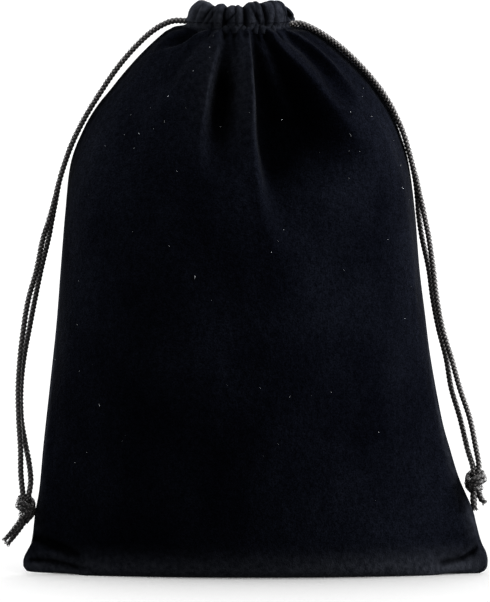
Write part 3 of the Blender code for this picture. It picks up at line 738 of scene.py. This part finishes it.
def gathered_hem(side, u, panel_top_z):
    """The hem from the stitch line up, over and down inside the mouth, and its points' painted shade
    shares.
    """
    _, _, band_folds, top, creases = SHAPES[side]
    section = smooth(HEM_SECTION, BAND_ROWS + 1)[1:]
    inset, hem_z = section[:, :1], section[:, 1:]
    rise = np.linspace(0.0, 1.0, BAND_ROWS)[:, None]
    end = BAND_END_ANGLE * step_between(rise, 0.0, 0.16)
    angle = end + (math.pi - 2 * end) * 0.5 * (u + 1.0)
    top_angles = np.arccos(np.clip((NECK_X - np.array([p[0] for p in top])) / TOP_HALF_WIDTH, -1.0, 1.0))
    top_z = np.interp(angle, top_angles, [p[1] for p in top])
    shaped = SHAPED_Z + (hem_z - SHAPED_Z) * (top_z - SHAPED_Z) / (HEM_TOP_Z - SHAPED_Z)
    z = np.where(hem_z > SHAPED_Z, shaped, hem_z)
    # the gathers pinch the outer face in and the inner face out, and dip the top
    pinch = pinches(angle, creases, PINCH_WIDTH)
    inner = step_between(rise, 0.50, 0.62)
    outer = 1.0 - step_between(rise, 0.42, 0.54)
    inset = inset + (1.9 if side > 0 else 0.5) * pinch * outer
    inset = inset - 1.7 * pinch * inner - 0.5 * np.sin(9.0 * angle + 0.7) * inner
    z = z - 1.1 * pinch * step_between(rise, 0.28, 0.45) * (1.0 - step_between(rise, 0.6, 0.8))
    on_arc = [
        ([(ARC_RADIUS * (float(ring_angle(px)) - 0.5 * math.pi), pz) for px, pz in points], *shape)
        for points, *shape in band_folds
    ]
    relief = fold_height(ARC_RADIUS * (angle - 0.5 * math.pi), z, on_arc)
    inset = inset - relief * outer
    # the hem's ends lean outwards as they rise, and the back's right end flares over the cord
    lean = np.where(np.cos(angle) > 0.0, 0.24, 0.24 if side < 0 else 0.20) * np.clip(z - 238.6, 0.0, 5.0)
    lean = lean * np.abs(np.cos(angle)) ** 3
    if side > 0:
        flare = np.interp(z, [235.0, 237.0, 240.3, 245.5, 247.0], [0.0, 1.4, 4.4, 1.2, 0.6])
        lean = lean - flare * outer * np.clip(-np.cos(angle), 0.0, 1.0) ** 6
    lift = (panel_top_z - SEAM_Z) * (1.0 - step_between(hem_z, 235.0, 240.0))
    x = NECK_X - (NECK_HALF_WIDTH - inset - lean) * np.cos(angle)
    y = side * (NECK_HALF_DEPTH - inset) * np.sin(angle)
    # painted shade in the gathers' creases and the hem's folds on the outer face, and inside the mouth
    painted_shade = np.clip(0.9 * pinch**1.5 * outer + 0.5 * inner, 0.0, 1.0)
    painted_shade = np.maximum(painted_shade, np.clip(-0.6 * relief, 0.0, 1.0) * outer)
    return np.stack([x, y, z + lift], axis=2), painted_shade


def velvet_grid(side):
    """The outer face of one half of the bag and its hem, as rows of points from the bottom seam up,
    and each point's painted shade and painted highlight share."""
    u = np.linspace(-1.0, 1.0, COLUMNS + 1)[None, :]
    plain, from_edge = plain_panel(side, u)
    panel, painted_shade, painted_highlight = folded_panel(side, u, plain, from_edge)
    hem, hem_painted_shade = gathered_hem(side, u, plain[-1:, :, 2])
    # the whole hem gets the full painted highlight, lighter as lit from above
    return (
        np.concatenate([panel, hem]),
        np.concatenate([painted_shade, hem_painted_shade]),
        np.concatenate([painted_highlight, np.ones_like(hem_painted_shade)]),
    )


def velvet_object(name, grid, painted_shade, painted_highlight, side):
    """A sheet with its cloth's thickness. Its material paints shade, light and highlights onto each point.
    """
    rows, columns = grid.shape[:2]
    faces = []
    for i in range(rows - 1):
        a = i * columns
        for j in range(columns - 1):
            face = (a + j, a + j + 1, a + columns + j + 1, a + columns + j)
            faces.append(face if side < 0 else face[::-1])
    obj = make_object(name, grid.reshape(-1, 3), faces, VELVETS[0])
    for material in VELVETS[1:]:
        obj.data.materials.append(material)
    # each face takes the copy of the velvet whose sheen suits its painted shade
    face_painted_shade = painted_shade.reshape(-1)[np.array(faces)].mean(axis=1)
    steps = np.searchsorted([limit for limit, _ in SHEEN_STEPS], face_painted_shade).astype(np.int32)
    obj.data.polygons.foreach_set("material_index", steps)
    point_attribute(obj, "painted_shade", painted_shade)
    point_attribute(obj, "painted_highlight", painted_highlight)
    wall = obj.modifiers.new("Cloth", "SOLIDIFY")
    wall.thickness = CLOTH * MM
    wall.offset = -1.0
    bpy.context.view_layer.objects.active = obj
    bpy.ops.object.modifier_apply(modifier=wall.name)
    for vertex in obj.data.vertices:
        vertex.co.y = side * max(side * vertex.co.y, SEAM_HALF_GAP * MM)
    obj.data.shade_smooth()
    place = np.empty(len(obj.data.vertices) * 3)
    obj.data.vertices.foreach_get("co", place)
    x, y, z = place.reshape(-1, 3).T / MM
    # painted light: lighter along the foot (painted floor bounce and sheen), along the side seams, at the
    # left of the gathers and on the upper pleats
    foot = 0.78 * (1.0 - step_between(z, 0.0, 18.0)) ** 1.6
    seams = np.exp(-((y / 1.6) ** 2)) * step_between(z, 8.0, 20.0)
    gathers = step_between(z, 234.5, 236.5) * np.interp(x, [-22.0, 14.0], [0.56, 0.0])
    pleats = 0.19 * np.exp(-(((z - 212.0) / 22.0) ** 2) - ((x + 11.0) / 15.0) ** 2)
    upper_light = np.where(z > 235.0, gathers, pleats)
    point_attribute(obj, "painted_light", np.clip(foot + 0.5 * seams + upper_light, 0.0, 1.0))
    return obj


STITCH_PITCH = 2.9
STITCH_RADIUS = 0.16


def stitches(grid):
    """Short stitches along the hem's seam, in the line of the cloth."""
    row = grid[BODY_ROWS + 5]
    places = np.linspace(4, len(row) - 5, 400)
    line = np.stack([np.interp(places, np.arange(len(row)), row[:, k]) for k in range(3)], axis=1)
    along = distances_along(line)
    count = int(along[-1] / STITCH_PITCH)
    lift = np.sin(np.linspace(0.0, math.pi, 7)) * STITCH_RADIUS - 0.5 * STITCH_RADIUS
    parts = []
    for i in range(count):
        stops = np.linspace(i + 0.10, i + 0.82, 7) * along[-1] / count
        short = np.stack([np.interp(stops, along, line[:, k]) for k in range(3)], axis=1)
        out = short - np.array([NECK_X, 0.0, 0.0])
        out[:, 2] = 0.0
        out /= np.linalg.norm(out, axis=1)[:, None]
        parts.append(tube_mesh(short + out * lift[:, None], STITCH_RADIUS, 8))
    return joined(parts)


def lint(grid, side, count):
    """Specks and short hairs of lint that cling to the pile."""
    draw = random.Random(SEED * 10 + side)
    parts = []
    for _ in range(count):
        i = int(draw.triangular(20, BODY_ROWS - 4, BODY_ROWS * 0.80))
        j = draw.randint(6, COLUMNS - 6)
        here = grid[i, j]
        right = grid[i, j + 1] - here
        up = grid[i + 1, j] - here
        normal = np.cross(right, up) * -side
        normal /= np.linalg.norm(normal)
        right = right / np.linalg.norm(right)
        up = np.cross(normal, right) * -side
        angle = draw.uniform(0.0, 2 * math.pi)
        length = draw.uniform(0.10, 0.28) if draw.random() < 0.88 else draw.uniform(0.6, 1.4)
        bend = draw.uniform(-0.5, 0.5)
        line = np.array([
            here + normal * (0.10 + 0.05 * abs(s))
            + (right * math.cos(angle + bend * s) + up * math.sin(angle + bend * s)) * s * length
            for s in np.linspace(-0.5, 0.5, 6)
        ])
        parts.append(tube_mesh(line, draw.uniform(0.04, 0.09), 6))
    return joined(parts)


for word, side in SIDES.items():
    grid, painted_shade, painted_highlight = velvet_grid(side)
    velvet = velvet_object(word + "_velvet", grid, painted_shade, painted_highlight, side)
    seam = make_object(word + "_hem_stitches", *stitches(grid), THREAD)
    fluff = make_object(word + "_lint", *lint(grid, side, 70 if side < 0 else 50), LINT)
    for obj in (velvet, seam, fluff):
        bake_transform(obj)
    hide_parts(word + "_panel", word + "_channel")
    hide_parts(word + "_hem_stitching")

for name in ("left_side_stitching", "right_side_stitching", "bottom_stitching"):
    node = bpy.data.objects[name]
    for slot in node.material_slots:
        slot.material = THREAD


# ---------------------------------------------------------------- the cords
BRAID_COLUMNS = 4
BRAID_PITCH = 1.75  # along the cord, for one lozenge
BRAID_RELIEF = 0.36
BRAID_SUNK = 0.75  # the share of the relief that lies below the cord's radius


def braid(turn, along):
    """The relief of a round braid, whose strands wind both ways and pass over and under each other."""
    a = BRAID_COLUMNS * turn / (2 * math.pi) + along / BRAID_PITCH
    b = BRAID_COLUMNS * turn / (2 * math.pi) - along / BRAID_PITCH
    over = (np.floor(a) + np.floor(b)) % 2 < 0.5
    one, two = np.sin(math.pi * (a % 1.0)), np.sin(math.pi * (b % 1.0))
    height = np.where(over, one**0.7 * (0.55 + 0.45 * two), two**0.7 * (0.55 + 0.45 * one))
    return height * BRAID_RELIEF - BRAID_SUNK * BRAID_RELIEF


def dense(points, step):
    return smooth(points, max(4, int(line_length(points) / step) + 1))


def cord_object(name, points, faces, crowns, shade=1.0):
    """A braided piece whose material knows how far each point stands out of the braid, from 0 to 1, and
    paints shade into the gaps and a highlight onto the crowns from it.
    """
    obj = make_object(name, points, faces, CORD)
    raised = shade * (np.concatenate(crowns) / BRAID_RELIEF + BRAID_SUNK)
    point_attribute(obj, "crown", np.clip(raised, 0.0, 1.0))
    return obj


def braided(name, points, around=40, step=0.26):
    crowns = []
    return cord_object(name, *tube_mesh(dense(points, step), CORD_RADIUS, around, crowns), crowns)


def strand_line(side, sign, shoulder, fall, z):
    """A free strand's route, from the cord's end in the channel, at height z, into the knot."""
    exit_x = NECK_X + sign * (NECK_HALF_WIDTH - CHANNEL_INSET) * math.cos(BAND_END_ANGLE)
    sag = z - shoulder[0][1]
    way_out = [(exit_x + sign * outwards, side * y, z - share * sag) for outwards, y, share in WAY_OUT]
    return way_out + [(x, side * STRAND_Y, height) for x, height in shoulder] + fall


def run_line(side, z, far_end):
    """A cord's route in one half of the channel, to the side seam that far_end is the sign of."""
    near = BAND_END_ANGLE + math.radians(1.8)
    seam = 0.3 / (NECK_HALF_DEPTH - CHANNEL_INSET)
    start, stop = (near, math.pi - seam) if far_end > 0 else (seam, math.pi - near)
    return [
        (NECK_X - (NECK_HALF_WIDTH - CHANNEL_INSET) * math.cos(angle),
         side * (NECK_HALF_DEPTH - CHANNEL_INSET) * math.sin(angle), z)
        for angle in np.linspace(start, stop, 18)
    ]


FIBRES = 26
FIBRE_RADII = np.linspace(0.24, 0.11, 6)  # from root to tip


def frayed_tip(end, direction, seed):
    """Loose fibres that spread from a cut end."""
    draw = random.Random(seed)
    direction = direction / np.linalg.norm(direction)
    side_a = np.cross(direction, (0.0, 1.0, 0.0))
    side_a /= np.linalg.norm(side_a)
    side_b = np.cross(direction, side_a)
    parts = []
    for _ in range(FIBRES):
        angle = draw.uniform(0.0, 2 * math.pi)
        r = 0.85 * math.sqrt(draw.random())
        spread = draw.uniform(0.1, 0.55)
        length = draw.uniform(0.7, 1.9)
        curl = draw.uniform(-0.5, 0.5)
        out = side_a * math.cos(angle) + side_b * math.sin(angle)
        line = np.array([
            end + out * (r + spread * length * s * s) + direction * (length * s - 0.5)
            + side_a * curl * s * s * 0.6
            for s in np.linspace(0.0, 1.0, len(FIBRE_RADII))
        ])
        parts.append(tube_mesh(line, FIBRE_RADII, 6))
    return joined(parts)


def knot_object(name, node, mirror):
    """The doubled cord tied in an overhand knot, sized to its CAD solid."""
    line = dense(np.array(KNOT_LINE) * np.array([mirror, 1.0, 1.0]), 0.22)
    # the two cords lie beside each other across the line, on the knot's own surface
    beside = np.cross(tangents(line), line * np.array([1.0, 1.0, 0.45]))
    length = np.linalg.norm(beside, axis=1)[:, None]
    beside = np.where(length > 0.6, beside / np.maximum(length, 1e-6), np.array([1.0, 0.0, 0.0]))
    for _ in range(30):
        beside[1:-1] = 0.25 * beside[:-2] + 0.5 * beside[1:-1] + 0.25 * beside[2:]
    beside /= np.maximum(np.linalg.norm(beside, axis=1)[:, None], 1e-6)
    crowns = []
    points, faces = joined([
        tube_mesh(line + beside * s * KNOT_CORD_SPACING, KNOT_CORD_RADIUS, 28, crowns) for s in (-1, 1)
    ])
    solid_low, solid_high = (np.array(v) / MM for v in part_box(node))
    low, high = points.min(axis=0), points.max(axis=0)
    size = (solid_high - solid_low) / (high - low) * np.array(KNOT_LOOSENESS)
    points = (points - 0.5 * (high + low)) * size + 0.5 * (solid_low + solid_high)
    points[:, 2] -= KNOT_SAG
    return cord_object(name, points, faces, crowns, KNOT_SHADE)


def tail_object(name, points, seed, taper):
    """A cord's cut end below the knot, with its frayed tip."""
    line = dense(points, 0.26)
    radii = np.interp(np.linspace(0, 1, len(line)), [0.0, 0.5, 0.85, 1.0], taper)
    crowns = []
    parts = [tube_mesh(line, radii, 32, crowns), frayed_tip(line[-1], line[-1] - line[-6], seed)]
    crowns.append(np.full(len(parts[1][0]), 0.1 * BRAID_RELIEF))
    return cord_object(name, *joined(parts), crowns, KNOT_SHADE)


# Each with its strands and tails, front and back, the tails' radii from the knot to the tip, and
# the share of its length that a strand keeps when the mouth is open
DRAWSTRINGS = (
    ("left", -1, LEFT_CORD_Z, LEFT_SHOULDER, (LEFT_FRONT_FALL, LEFT_BACK_FALL), LEFT_TAILS,
     (1.75, 1.45, 1.15, 0.85), 0.857),
    ("right", 1, RIGHT_CORD_Z, RIGHT_SHOULDER, (RIGHT_FRONT_FALL, RIGHT_BACK_FALL), RIGHT_TAILS,
     (1.7, 1.5, 1.35, 1.1), 0.851),
)
for name, sign, z, shoulder, falls, tails, taper, keep in DRAWSTRINGS:
    knot = knot_object(name + "_knot_tied", name + "_knot", -sign)
    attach(knot, name + "_knot")
    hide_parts(name + "_knot")
    for (word, side), fall, tail in zip(SIDES.items(), falls, tails):
        route = strand_line(side, sign, shoulder, fall, z)
        cord = braided(f"{name}_{word}_braid", route)
        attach(cord, name + "_drawstring")
        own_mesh(cord)
        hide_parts(f"{name}_cord_{word}_strand")
        end = tail_object(f"{name}_{word}_tail_end", tail, SEED + 3 * sign + side, taper)
        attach(end, name + "_knot")
        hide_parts(f"{name}_cord_{word}_tail")
        path = dense(route, 3.0) * MM
        run = braided(f"{name}_{word}_run_braid", run_line(side, z, -sign), around=24, step=0.5)
        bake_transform(run)
        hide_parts(f"{name}_cord_{word}_run")

# ---------------------------------------------------------------- floor, light and camera
FLOOR_HALF = 6.0
floor_mesh = bpy.data.meshes.new("floor")
floor_mesh.from_pydata(
    [(-FLOOR_HALF, -FLOOR_HALF, 0.0), (FLOOR_HALF, -FLOOR_HALF, 0.0), (FLOOR_HALF, FLOOR_HALF, 0.0),
     (-FLOOR_HALF, FLOOR_HALF, 0.0)], [], [(0, 1, 2, 3)],
)
floor = bpy.data.objects.new("floor", floor_mesh)
bpy.context.scene.collection.objects.link(floor)
floor_paint, _, _, floor_shader = principled("floor_white", (0.97, 0.97, 0.97), 1.0)
floor_shader.inputs["Emission Color"].default_value = (1.0, 1.0, 1.0, 1.0)
floor_shader.inputs["Emission Strength"].default_value = 0.10
floor_mesh.materials.append(floor_paint)
floor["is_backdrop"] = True

world = bpy.data.worlds.new("studio")
bpy.context.scene.world = world
world.use_nodes = True
backdrop = world.node_tree.nodes["Background"]
backdrop.inputs["Color"].default_value = (1.0, 1.0, 1.0, 1.0)
backdrop.inputs["Strength"].default_value = 1.15

lit = bpy.data.collections.new("lit_by_softboxes")
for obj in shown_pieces():
    lit.objects.link(obj)


def softbox(name, location, size, energy):
    """A soft light that falls on the bag only: the floor and backdrop have the white world's light."""
    light = bpy.data.lights.new(name, "AREA")
    light.shape = "RECTANGLE"
    light.size, light.size_y = size
    light.energy = energy
    obj = bpy.data.objects.new(name, light)
    obj.location = location
    obj.rotation_euler = (LIGHT_AIM - Vector(location)).to_track_quat("-Z", "Y").to_euler()
    obj.light_linking.receiver_collection = lit
    bpy.context.scene.collection.objects.link(obj)


LIGHT_AIM = Vector((0.0, 0.0, 0.13))
softbox("key_right", (1.1, -0.25, 0.45), (0.70, 0.9), 155.0)
softbox("fill_left", (-1.1, -0.25, 0.50), (0.30, 0.8), 26.0)
softbox("top", (0.15, -0.1, 1.3), (0.5, 0.4), 50.0)
softbox("back_left", (-0.9, 0.65, 0.50), (0.5, 0.8), 95.0)
softbox("back_right", (0.9, 0.65, 0.50), (0.5, 0.8), 80.0)

CAMERA_DISTANCE = 2.2
CAMERA_ELEVATION = math.radians(4.0)
CAMERA_AIM = Vector((-0.0043, 0.0, 0.1178))
VIEW_HEIGHT = 0.2584
camera_data = bpy.data.cameras.new("camera")
camera_data.sensor_width = 36.0
camera_data.lens = 36.0 * CAMERA_DISTANCE / VIEW_HEIGHT
camera_data.clip_end = 50.0
camera = bpy.data.objects.new("camera", camera_data)
camera.location = CAMERA_AIM + CAMERA_DISTANCE * Vector(
    (0.0, -math.cos(CAMERA_ELEVATION), math.sin(CAMERA_ELEVATION))
)
camera.rotation_euler = (CAMERA_AIM - camera.location).to_track_quat("-Z", "Y").to_euler()
bpy.context.scene.collection.objects.link(camera)
bpy.context.scene.camera = camera
bpy.context.scene.view_settings.view_transform = "Standard"
